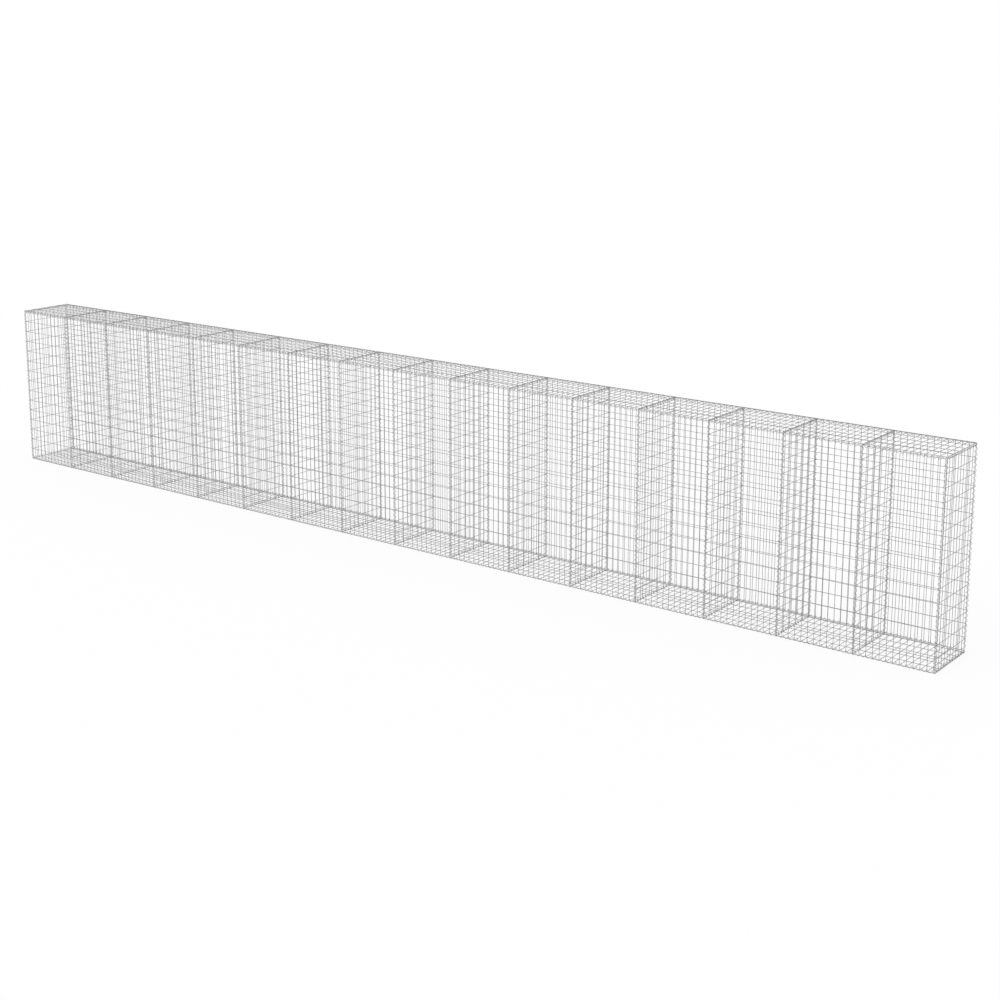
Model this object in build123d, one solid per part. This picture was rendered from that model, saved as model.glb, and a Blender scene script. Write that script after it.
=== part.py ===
from build123d import *
import os

# A gabion wall: one long run of empty wire-mesh baskets, floored, covered and split into bays.
# Millimetres. X runs along the wall, Y from its front to its back, Z up.
# The origin is on the ground, at the middle of the wall's footprint.

# Driving dimensions
wire = 4.0                   # every wire of the mesh; drawn square, so that crossing wires meet flat
bay_count = 16
meshes_per_bay = 12
upright_pitch = 50.0         # spacing of the mesh's close-set wires
rail_pitch = 100.0           # spacing of its wide-set wires
rows_up = 15                 # meshes from the ground to the top
rows_across = 5              # meshes from the front to the back, on the floor and the cover
overhang = 12.5              # how far the wires across the wall run on past its edge wires

# Derived from them
bay_length = meshes_per_bay * upright_pitch
run = bay_count * bay_length             # between the middles of the first and last uprights
depth = rows_across * rail_pitch         # between the middles of the floor's edge wires
half = wire / 2
sheet = 2 * wire                         # a mesh is one layer of wires welded onto another
rise = rows_up * rail_pitch + wire       # the height of every upright panel
inner_top = sheet + rise                 # the underside of the cover
top = inner_top + sheet                  # the wall's highest face

# The front and back stand flush with the ends of the wires across the wall, and the two ends
# of the run stand against its first and last wires across.
edge_x = run / 2 + half
edge_y = depth / 2 + half + overhang
inner_y = edge_y - wire                  # the inner faces of the front and back

along_x = [-run / 2 + i * upright_pitch for i in range(bay_count * meshes_per_bay + 1)]
across_y = [-depth / 2 + i * rail_pitch for i in range(rows_across + 1)]
close_across_y = [-depth / 2 + i * upright_pitch for i in range(int(depth / upright_pitch) + 1)]
up_z = [half + i * rail_pitch for i in range(rows_up + 1)]     # from the foot of a panel


def bar(x, y, z):
    """One straight wire, filling the box between three pairs of low and high faces."""
    size = (x[1] - x[0], y[1] - y[0], z[1] - z[0])
    centre = (sum(x) / 2, sum(y) / 2, sum(z) / 2)
    return Pos(*centre) * Box(*size)


def about(middle):
    """The two faces of a wire, half a wire each side of its middle."""
    return (middle - half, middle + half)


def layer(face, outward):
    """The two faces of a layer of wires that stands on a face, outward being 1 or -1."""
    return tuple(sorted((face, face + outward * wire)))


def write(name, wires):
    """Wires of one layer lie apart from each other, so a node holds them as they are."""
    export_step(Compound(label=name, children=wires), f"parts/{name}.step")


def level_mesh(name, long_layer, cross_layer):
    """The floor or the cover: wires along the wall on one layer, wires across it on the other.

    The wires along the wall run on past the last wires across by the thickness of an upright.
    """
    long_x = (-edge_x - wire, edge_x + wire)
    cross_y = (-edge_y, edge_y)
    write(f"{name}_long_wires", [bar(long_x, about(y), long_layer) for y in across_y])
    write(f"{name}_cross_wires", [bar(about(x), cross_y, cross_layer) for x in along_x])


def long_side(name, outward):
    """The front or the back: each upright on the end of one of the floor's cross wires, with an
    end of one of the cover's on its head, and the rails outside."""
    uprights_y = layer(outward * inner_y, outward)
    rails_y = layer(outward * edge_y, outward)
    height = (sheet, inner_top)
    write(f"{name}_uprights", [bar(about(x), uprights_y, height) for x in along_x])
    write(f"{name}_rails", [bar((-edge_x, edge_x), rails_y, about(sheet + z)) for z in up_z])


def end_side(name, outward):
    """An end of the run. It stands on the ends of the floor's long wires, a wire's thickness
    lower than the other panels, and its rails run between the front and the back."""
    uprights_x = layer(outward * edge_x, outward)
    rails_x = layer(outward * (edge_x + wire), outward)
    width = (-inner_y, inner_y)
    height = (wire, wire + rise)
    write(f"{name}_uprights", [bar(uprights_x, about(y), height) for y in close_across_y])
    write(f"{name}_rails", [bar(rails_x, width, about(wire + z)) for z in up_z])


def divider(number):
    """An inner panel of square mesh between two bays. Its uprights stand on a cross wire of the
    floor and carry one of the cover, and its rails run between the front and the back."""
    name = f"divider_{number:02d}"
    middle = -run / 2 + number * bay_length
    rails_x = layer(middle + half, 1)
    width = (-inner_y, inner_y)
    height = (sheet, inner_top)
    write(f"{name}_uprights", [bar(about(middle), about(y), height) for y in across_y])
    write(f"{name}_rails", [bar(rails_x, width, about(sheet + z)) for z in up_z])


os.makedirs("parts", exist_ok=True)

level_mesh("floor", long_layer=(0, wire), cross_layer=(wire, sheet))
level_mesh("cover", long_layer=(top - wire, top), cross_layer=(inner_top, inner_top + wire))
long_side("front", outward=-1)
long_side("back", outward=1)
end_side("left_end", outward=-1)
end_side("right_end", outward=1)
for number in range(1, bay_count):
    divider(number)
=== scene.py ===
"""An empty gabion wall: galvanised wire-mesh baskets in one long run, laced shut with spirals."""

import math

import bpy
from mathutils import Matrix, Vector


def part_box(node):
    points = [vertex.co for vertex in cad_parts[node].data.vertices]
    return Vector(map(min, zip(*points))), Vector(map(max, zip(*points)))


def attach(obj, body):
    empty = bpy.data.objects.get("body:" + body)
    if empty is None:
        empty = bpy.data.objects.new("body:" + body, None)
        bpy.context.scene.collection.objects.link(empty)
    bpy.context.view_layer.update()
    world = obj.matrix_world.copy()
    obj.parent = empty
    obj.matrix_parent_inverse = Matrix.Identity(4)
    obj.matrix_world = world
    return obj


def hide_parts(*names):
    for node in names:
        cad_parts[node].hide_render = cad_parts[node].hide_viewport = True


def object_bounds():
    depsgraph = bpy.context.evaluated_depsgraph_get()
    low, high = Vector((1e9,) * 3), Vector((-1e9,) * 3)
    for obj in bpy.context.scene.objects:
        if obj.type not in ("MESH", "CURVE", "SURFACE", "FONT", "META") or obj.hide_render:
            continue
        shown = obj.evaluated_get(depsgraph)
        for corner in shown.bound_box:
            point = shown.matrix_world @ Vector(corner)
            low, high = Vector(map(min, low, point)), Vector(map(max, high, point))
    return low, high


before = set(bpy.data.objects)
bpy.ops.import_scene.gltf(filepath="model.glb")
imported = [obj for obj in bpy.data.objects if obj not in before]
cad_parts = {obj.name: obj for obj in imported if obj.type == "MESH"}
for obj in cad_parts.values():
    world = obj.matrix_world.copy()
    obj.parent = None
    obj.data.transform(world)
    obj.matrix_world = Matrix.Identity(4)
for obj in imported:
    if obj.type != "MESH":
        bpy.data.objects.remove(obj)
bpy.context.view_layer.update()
bpy.ops.object.select_all(action="DESELECT")

# --- The welded wires ------------------------------------------------------------------------
# Every panel is a flat sheet of drawn steel wire: one layer of straight wires laid across
# another, welded at each crossing, cut to size and then dipped in zinc.
wire = 0.004
upright_pitch = 0.050
rail_pitch = 0.100
end_bevel = 0.08 * wire
weld_radius = 0.0019
weld_flattening = 0.55
zinc_light = (0.458, 0.442, 0.459, 1)
zinc_dark = (0.271, 0.261, 0.272, 1)
zinc_bloom = (0.588, 0.572, 0.588, 1)
X, Y, Z = 0, 1, 2


def zinc_coat(name, roughness, bloom_amount):
    """Hot-dip zinc: crystals of two greys, a pale bloom in patches, and a faintly lumpy skin."""
    material = bpy.data.materials.new(name)
    material.use_nodes = True
    nodes = material.node_tree.nodes
    links = material.node_tree.links
    shader = nodes["Principled BSDF"]
    shader.inputs["Metallic"].default_value = 0.85

    place = nodes.new("ShaderNodeTexCoord")
    spangle = nodes.new("ShaderNodeTexVoronoi")
    spangle.inputs["Scale"].default_value = 160
    links.new(place.outputs["Object"], spangle.inputs["Vector"])
    crystal = nodes.new("ShaderNodeSeparateColor")
    links.new(spangle.outputs["Color"], crystal.inputs["Color"])
    greys = nodes.new("ShaderNodeMix")
    greys.data_type = "RGBA"
    greys.inputs["A"].default_value = zinc_dark
    greys.inputs["B"].default_value = zinc_light
    links.new(crystal.outputs["Red"], greys.inputs["Factor"])

    patches = nodes.new("ShaderNodeTexNoise")
    patches.inputs["Scale"].default_value = 9
    patches.inputs["Detail"].default_value = 5
    links.new(place.outputs["Object"], patches.inputs["Vector"])
    bloom = nodes.new("ShaderNodeMapRange")
    bloom.inputs["From Min"].default_value = 0.52
    bloom.inputs["From Max"].default_value = 0.72
    bloom.inputs["To Max"].default_value = bloom_amount
    links.new(patches.outputs["Fac"], bloom.inputs["Value"])
    coat = nodes.new("ShaderNodeMix")
    coat.data_type = "RGBA"
    coat.inputs["B"].default_value = zinc_bloom
    links.new(bloom.outputs["Result"], coat.inputs["Factor"])
    links.new(greys.outputs["Result"], coat.inputs["A"])
    links.new(coat.outputs["Result"], shader.inputs["Base Color"])

    dulling = nodes.new("ShaderNodeMapRange")
    dulling.inputs["To Min"].default_value = roughness - 0.08
    dulling.inputs["To Max"].default_value = roughness + 0.14
    links.new(patches.outputs["Fac"], dulling.inputs["Value"])
    links.new(dulling.outputs["Result"], shader.inputs["Roughness"])

    lumps = nodes.new("ShaderNodeTexNoise")
    lumps.inputs["Scale"].default_value = 700
    lumps.inputs["Detail"].default_value = 3
    links.new(place.outputs["Object"], lumps.inputs["Vector"])
    skin = nodes.new("ShaderNodeBump")
    skin.inputs["Strength"].default_value = 0.35
    skin.inputs["Distance"].default_value = 0.0004
    links.new(lumps.outputs["Fac"], skin.inputs["Height"])
    links.new(skin.outputs["Normal"], shader.inputs["Normal"])
    return material


def repeat_along(row, count, step):
    """Repeats an object's mesh a number of times along one step."""
    array = row.modifiers.new("repeat", "ARRAY")
    array.count = count
    array.use_relative_offset = False
    array.use_constant_offset = True
    array.constant_offset_displace = step
    bpy.ops.object.modifier_apply(modifier=array.name)


def wires_between(low, high, axis, pitch):
    """How many wires stand in a row between the low and high faces of its first and last."""
    return round((high[axis] - low[axis] - wire) / pitch) + 1


def row_of_wires(low, high, axis, step_axis, pitch):
    """One layer of a panel between two corners: a wire with bevelled ends, repeated at a pitch."""
    middle = [(a + b) / 2 for a, b in zip(low, high)]
    middle[step_axis] = low[step_axis] + wire / 2
    turn = {X: (0, math.pi / 2, 0), Y: (math.pi / 2, 0, 0), Z: (0, 0, 0)}[axis]
    bpy.ops.mesh.primitive_cylinder_add(
        vertices=12, radius=wire / 2, depth=high[axis] - low[axis], location=middle, rotation=turn)
    row = bpy.context.object
    bpy.ops.object.transform_apply(location=True, rotation=True, scale=True)
    bpy.ops.object.mode_set(mode="EDIT")
    bpy.ops.mesh.select_all(action="DESELECT")
    bpy.ops.object.mode_set(mode="OBJECT")
    for face in row.data.polygons:
        face.select = abs(face.normal[axis]) > 0.9
    bpy.ops.object.mode_set(mode="EDIT")
    bpy.ops.mesh.bevel(offset=end_bevel, segments=1, affect="EDGES")
    bpy.ops.object.mode_set(mode="OBJECT")
    bpy.ops.object.shade_smooth_by_angle(angle=math.radians(40))
    step = [0, 0, 0]
    step[step_axis] = pitch
    repeat_along(row, wires_between(low, high, step_axis, pitch), step)
    return row


def weld_beads(first_crossing, counts, steps, thin_axis):
    """A flattened bead at each crossing, on the plane where the two layers touch."""
    bpy.ops.mesh.primitive_ico_sphere_add(
        subdivisions=1, radius=weld_radius, location=first_crossing)
    bead = bpy.context.object
    bpy.ops.object.mode_set(mode="EDIT")
    bpy.ops.mesh.select_all(action="SELECT")
    squeeze = [1, 1, 1]
    squeeze[thin_axis] = weld_flattening
    bpy.ops.transform.resize(value=squeeze)
    bpy.ops.object.mode_set(mode="OBJECT")
    bpy.ops.object.transform_apply(location=True, rotation=True, scale=True)
    bpy.ops.object.shade_smooth()
    for count, step in zip(counts, steps):
        repeat_along(bead, count, step)
    return bead


def join_parts(parts):
    """Makes one mesh of several."""
    bpy.ops.object.select_all(action="DESELECT")
    for part in parts:
        part.select_set(True)
    bpy.context.view_layer.objects.active = parts[0]
    bpy.ops.object.join()
    return bpy.context.object


def welded_panel(close_node, close_axis, close_pitch, wide_node, wide_axis):
    """A panel in place of two nodes: one layer of close-set wires and one of wide-set."""
    flat_axis = X + Y + Z - close_axis - wide_axis
    close_low, close_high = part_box(close_node)
    wide_low, wide_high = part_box(wide_node)
    close = row_of_wires(close_low, close_high, close_axis, wide_axis, close_pitch)
    wide = row_of_wires(wide_low, wide_high, wide_axis, close_axis, rail_pitch)
    corners = (close_low, close_high, wide_low, wide_high)
    first_crossing = [0, 0, 0]
    first_crossing[wide_axis] = close_low[wide_axis] + wire / 2
    first_crossing[close_axis] = wide_low[close_axis] + wire / 2
    first_crossing[flat_axis] = sum(corner[flat_axis] for corner in corners) / 4
    counts = (wires_between(close_low, close_high, wide_axis, close_pitch),
              wires_between(wide_low, wide_high, close_axis, rail_pitch))
    steps = ([0, 0, 0], [0, 0, 0])
    steps[0][wide_axis] = close_pitch
    steps[1][close_axis] = rail_pitch
    beads = weld_beads(first_crossing, counts, steps, flat_axis)
    return join_parts([close, wide, beads])


def finish_piece(piece, name, zinc, *stood_for):
    """Names and coats a piece, and puts it in place of the frame's plain wires."""
    piece.name = name
    piece.data.name = name
    piece.data.materials.clear()
    piece.data.materials.append(zinc)
    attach(piece, "root")
    if stood_for:
        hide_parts(*stood_for)
    bpy.ops.object.select_all(action="DESELECT")


mesh_zinc = zinc_coat("mesh_zinc", roughness=0.42, bloom_amount=0.5)

for side, rail_axis in (("front", X), ("back", X), ("left_end", Y), ("right_end", Y)):
    uprights, rails = f"{side}_uprights", f"{side}_rails"
    panel = welded_panel(uprights, Z, upright_pitch, rails, rail_axis)
    finish_piece(panel, f"{side}_mesh", mesh_zinc, uprights, rails)

for level in ("floor", "cover"):
    cross_wires, long_wires = f"{level}_cross_wires", f"{level}_long_wires"
    panel = welded_panel(cross_wires, Y, upright_pitch, long_wires, X)
    finish_piece(panel, f"{level}_mesh", mesh_zinc, cross_wires, long_wires)

# --- The dividers ----------------------------------------------------------------------------
# A panel of square mesh closes off each bay from the next. It is as tall as the sides, stands on
# a cross wire of the floor, and reaches from the front to the back. All of them are alike.
bay_length = 0.600
divider_count = sum(
    name.startswith("divider_") and name.endswith("_rails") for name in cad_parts)

first_divider = welded_panel("divider_01_uprights", Z, rail_pitch, "divider_01_rails", Y)
for number in range(2, divider_count + 1):
    bpy.ops.object.select_all(action="DESELECT")
    first_divider.select_set(True)
    bpy.context.view_layer.objects.active = first_divider
    bpy.ops.object.duplicate()
    bpy.ops.transform.translate(value=((number - 1) * bay_length, 0, 0))
    bpy.ops.object.transform_apply(location=True, rotation=True, scale=True)
    name = f"divider_{number:02d}"
    finish_piece(bpy.context.object, f"{name}_mesh", mesh_zinc, f"{name}_uprights", f"{name}_rails")
finish_piece(first_divider, "divider_01_mesh", mesh_zinc, "divider_01_uprights", "divider_01_rails")

# --- The spiral binders ----------------------------------------------------------------------
# Wherever panels meet, a spiral of thinner zinc-coated wire is screwed along the seam, round the
# wires of both panels. Each of its ends is bent level, a third of a turn round the seam, so that
# it can't unscrew.
spiral_wire = 0.003
spiral_pitch = 0.0375
spiral_radius = 0.010
spiral_sides = 6
steps_per_turn = 12
end_bend = 120
spiral_zinc = zinc_coat("spiral_zinc", roughness=0.36, bloom_amount=0.3)


def bend_end(coil, top):
    """Sweeps the coil's first or last face a third of a turn, level round the seam."""
    # Two faults are left here. Both ends are swept back over the coil instead of on from it, so
    # the bends' faces point inward. And the last face, still selected from its own sweep, is swept
    # again with the first. Clearing the selection first and turning both axes round mends them.
    end = max if top else min
    height = end(vertex.co.z for vertex in coil.data.vertices)
    for face in coil.data.polygons:
        is_cap = len(face.vertices) == spiral_sides
        face.select = is_cap and abs(face.center.z - height) < spiral_wire
    bpy.ops.object.mode_set(mode="EDIT")
    bpy.ops.mesh.spin(
        steps=round(end_bend * steps_per_turn / 360), angle=math.radians(end_bend),
        use_auto_merge=False, center=(0, 0, 0), axis=(0, 0, 1 if top else -1))
    bpy.ops.object.mode_set(mode="OBJECT")


def spiral(axis, start, length, heading):
    """A spiral along an axis from a start point; heading is its first wire's angle, in degrees."""
    slope = math.atan2(spiral_radius, spiral_pitch / math.tau)
    bpy.ops.mesh.primitive_circle_add(
        vertices=spiral_sides, radius=spiral_wire / 2,
        location=(spiral_radius, 0, 0), rotation=(-slope, 0, 0))
    bpy.ops.object.transform_apply(location=True, rotation=True, scale=True)
    coil = bpy.context.object
    coil.rotation_euler.z = math.radians(heading)
    bpy.ops.object.transform_apply(location=False, rotation=True, scale=False)
    turns = length / spiral_pitch
    screw = coil.modifiers.new("turns", "SCREW")
    screw.axis = "Z"
    screw.angle = math.tau * turns
    screw.screw_offset = length
    screw.iterations = 1
    screw.steps = round(turns * steps_per_turn)
    screw.render_steps = screw.steps
    bpy.ops.object.modifier_apply(modifier=screw.name)
    bpy.ops.object.mode_set(mode="EDIT")
    bpy.ops.mesh.select_all(action="SELECT")
    bpy.ops.mesh.fill_holes(sides=spiral_sides)
    bpy.ops.mesh.select_all(action="DESELECT")
    bpy.ops.object.mode_set(mode="OBJECT")
    bend_end(coil, top=True)
    bend_end(coil, top=False)
    bpy.ops.object.mode_set(mode="EDIT")
    bpy.ops.mesh.select_all(action="SELECT")
    bpy.ops.mesh.flip_normals()
    bpy.ops.object.mode_set(mode="OBJECT")
    bpy.ops.object.shade_smooth_by_angle(angle=math.radians(70))
    coil.rotation_euler = {X: (0, math.pi / 2, 0), Y: (-math.pi / 2, 0, 0), Z: (0, 0, 0)}[axis]
    coil.location = start
    bpy.ops.object.transform_apply(location=True, rotation=True, scale=True)
    return coil


def heading_at(start, mark, wanted):
    """The heading at the start that brings the spiral to the wanted heading at a mark."""
    return (wanted + 360 * (start - mark) / spiral_pitch) % 360


front_low, front_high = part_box("front_uprights")
front_rail_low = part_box("front_rails")[0]
end_low, end_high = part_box("left_end_uprights")
divider_low, divider_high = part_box("divider_01_uprights")
floor_cross_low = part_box("floor_cross_wires")[0]
cover_cross_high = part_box("cover_cross_wires")[1]

# Level spirals pass close under the floor's cross wires, and close over the cover's.
floor_seam_z = floor_cross_low.z - spiral_wire / 2 + spiral_radius
cover_seam_z = cover_cross_high.z + spiral_wire / 2 - spiral_radius

# Seams along the wall: the four long edges, each round a rail and the ends of the cross wires.
# The turns are the headings of the front and the back spiral at the wall's middle.
edge_y = front_rail_low.y - spiral_wire / 2 + spiral_radius
along_start = front_low.x + spiral_radius + wire
for level, z, front_turn, back_turn in (
        ("floor", floor_seam_z, 286, 15),
        ("cover", cover_seam_z, 36, 61)):
    coils = []
    for y, turn in ((edge_y, front_turn), (-edge_y, back_turn)):
        heading = heading_at(along_start, 0, turn)
        coils.append(spiral(X, (along_start, y, z), -2 * along_start, heading))
    finish_piece(join_parts(coils), f"{level}_edge_spirals", spiral_zinc)

# Upright seams: at every divider on the front and the back, and at the four corners. Front and
# back spirals keep the same heading at mid-height from end to end of the wall.
front_heading = 288
back_heading = 12
divider_x = (divider_low.x + divider_high.x) / 2
seam_y = (front_low.y + front_high.y + 2 * divider_low.y + wire) / 4
foot = floor_seam_z + spiral_radius + wire
head = cover_seam_z - spiral_radius - wire
middle = (foot + head) / 2
for side, y, turn in (("front", seam_y, front_heading), ("back", -seam_y, back_heading)):
    coil = spiral(Z, (divider_x, y, foot), head - foot, heading_at(foot, middle, turn))
    repeat_along(coil, divider_count, (bay_length, 0, 0))
    finish_piece(coil, f"{side}_divider_spirals", spiral_zinc)

coils = []
for x in (end_high.x, -end_high.x):
    for y, turn in ((seam_y, front_heading), (-seam_y, back_heading)):
        coils.append(spiral(Z, (x, y, foot), head - foot, heading_at(foot, middle, turn)))
finish_piece(join_parts(coils), "corner_spirals", spiral_zinc)

# Seams across the wall, on the floor and the cover, at every divider and at both ends. They stop
# short of the upright seams by a gap.
end_gap = 0.005
across_start = seam_y + spiral_radius + end_gap
across_heading = heading_at(across_start, 0, 0)
end_x = (end_low.x + end_high.x) / 2
for level, z in (("floor", floor_seam_z), ("cover", cover_seam_z)):
    coil = spiral(Y, (divider_high.x, across_start, z), -2 * across_start, across_heading)
    repeat_along(coil, divider_count, (bay_length, 0, 0))
    finish_piece(coil, f"{level}_divider_spirals", spiral_zinc)

    coils = []
    for x in (end_x, -end_x):
        coils.append(spiral(Y, (x, across_start, z), -2 * across_start, across_heading))
    finish_piece(join_parts(coils), f"{level}_end_spirals", spiral_zinc)

# --- The studio ------------------------------------------------------------------------------
# The wall stands on a plain white floor in an even white room, with one very large soft lamp off
# its left front that gives the round wires a lit side.
def looked_at(tree):
    """A socket that is 1 for rays from the camera, off metal or through glass, else 0."""
    path = tree.nodes.new("ShaderNodeLightPath")
    reflected = tree.nodes.new("ShaderNodeMath")
    reflected.operation = "MAXIMUM"
    tree.links.new(path.outputs["Is Glossy Ray"], reflected.inputs[0])
    tree.links.new(path.outputs["Is Transmission Ray"], reflected.inputs[1])
    either = tree.nodes.new("ShaderNodeMath")
    either.operation = "MAXIMUM"
    tree.links.new(path.outputs["Is Camera Ray"], either.inputs[0])
    tree.links.new(reflected.outputs[0], either.inputs[1])
    return either.outputs[0]


object_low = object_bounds()[0]
bpy.ops.mesh.primitive_plane_add(size=120, location=(0, 0, object_low.z))
floor = bpy.context.object
floor.name = "studio_floor"
paint = bpy.data.materials.new("studio_floor_paint")
paint.use_nodes = True
floor_nodes = paint.node_tree.nodes
floor_links = paint.node_tree.links
matt = floor_nodes["Principled BSDF"]
matt.inputs["Base Color"].default_value = (0.93, 0.93, 0.93, 1)
matt.inputs["Roughness"].default_value = 0.9
plain_white = floor_nodes.new("ShaderNodeEmission")
plain_white.inputs["Strength"].default_value = 1.0
washed = floor_nodes.new("ShaderNodeMath")
washed.operation = "MULTIPLY"
washed.inputs[1].default_value = 0.85
floor_links.new(looked_at(paint.node_tree), washed.inputs[0])
surface = floor_nodes.new("ShaderNodeMixShader")
floor_links.new(washed.outputs[0], surface.inputs["Fac"])
floor_links.new(matt.outputs["BSDF"], surface.inputs[1])
floor_links.new(plain_white.outputs["Emission"], surface.inputs[2])
floor_links.new(surface.outputs[0], floor_nodes["Material Output"].inputs["Surface"])
floor.data.materials.append(paint)

room = bpy.data.worlds.new("studio_room")
bpy.context.scene.world = room
room.use_nodes = True
room_nodes = room.node_tree.nodes
room_links = room.node_tree.links
room_light = room_nodes["Background"]
room_light.inputs["Color"].default_value = (1, 1, 1, 1)
room_light.inputs["Strength"].default_value = 0.82
seen_white = room_nodes.new("ShaderNodeBackground")
seen_white.inputs["Color"].default_value = (1, 1, 1, 1)
seen_white.inputs["Strength"].default_value = 1.0
room_mix = room_nodes.new("ShaderNodeMixShader")
room_links.new(looked_at(room.node_tree), room_mix.inputs["Fac"])
room_links.new(room_light.outputs[0], room_mix.inputs[1])
room_links.new(seen_white.outputs[0], room_mix.inputs[2])
room_links.new(room_mix.outputs[0], room_nodes["World Output"].inputs["Surface"])

bpy.ops.object.light_add(type="SUN", location=(-5, -9, 8))
lamp = bpy.context.object
lamp.name = "soft_lamp"
lamp.data.angle = math.radians(40)
lamp.data.energy = 1.0
lamp.rotation_euler = (math.radians(45), 0, math.radians(-29))

# --- The camera ------------------------------------------------------------------------------
# It stands well off the wall's right front corner and well above its top, and looks down along it.
bpy.ops.object.camera_add(location=(9.0745, -10.8398, 4.3495))
camera = bpy.context.object
camera.name = "camera"
camera.rotation_euler = (math.pi / 2 - 0.2059, 0, 0.6541)
camera.data.sensor_width = 36
camera.data.lens = 61.815
camera.data.shift_x = 0.0149
camera.data.shift_y = -0.1219
camera.data.clip_end = 200
bpy.context.scene.camera = camera
bpy.context.scene.view_settings.view_transform = "Standard"
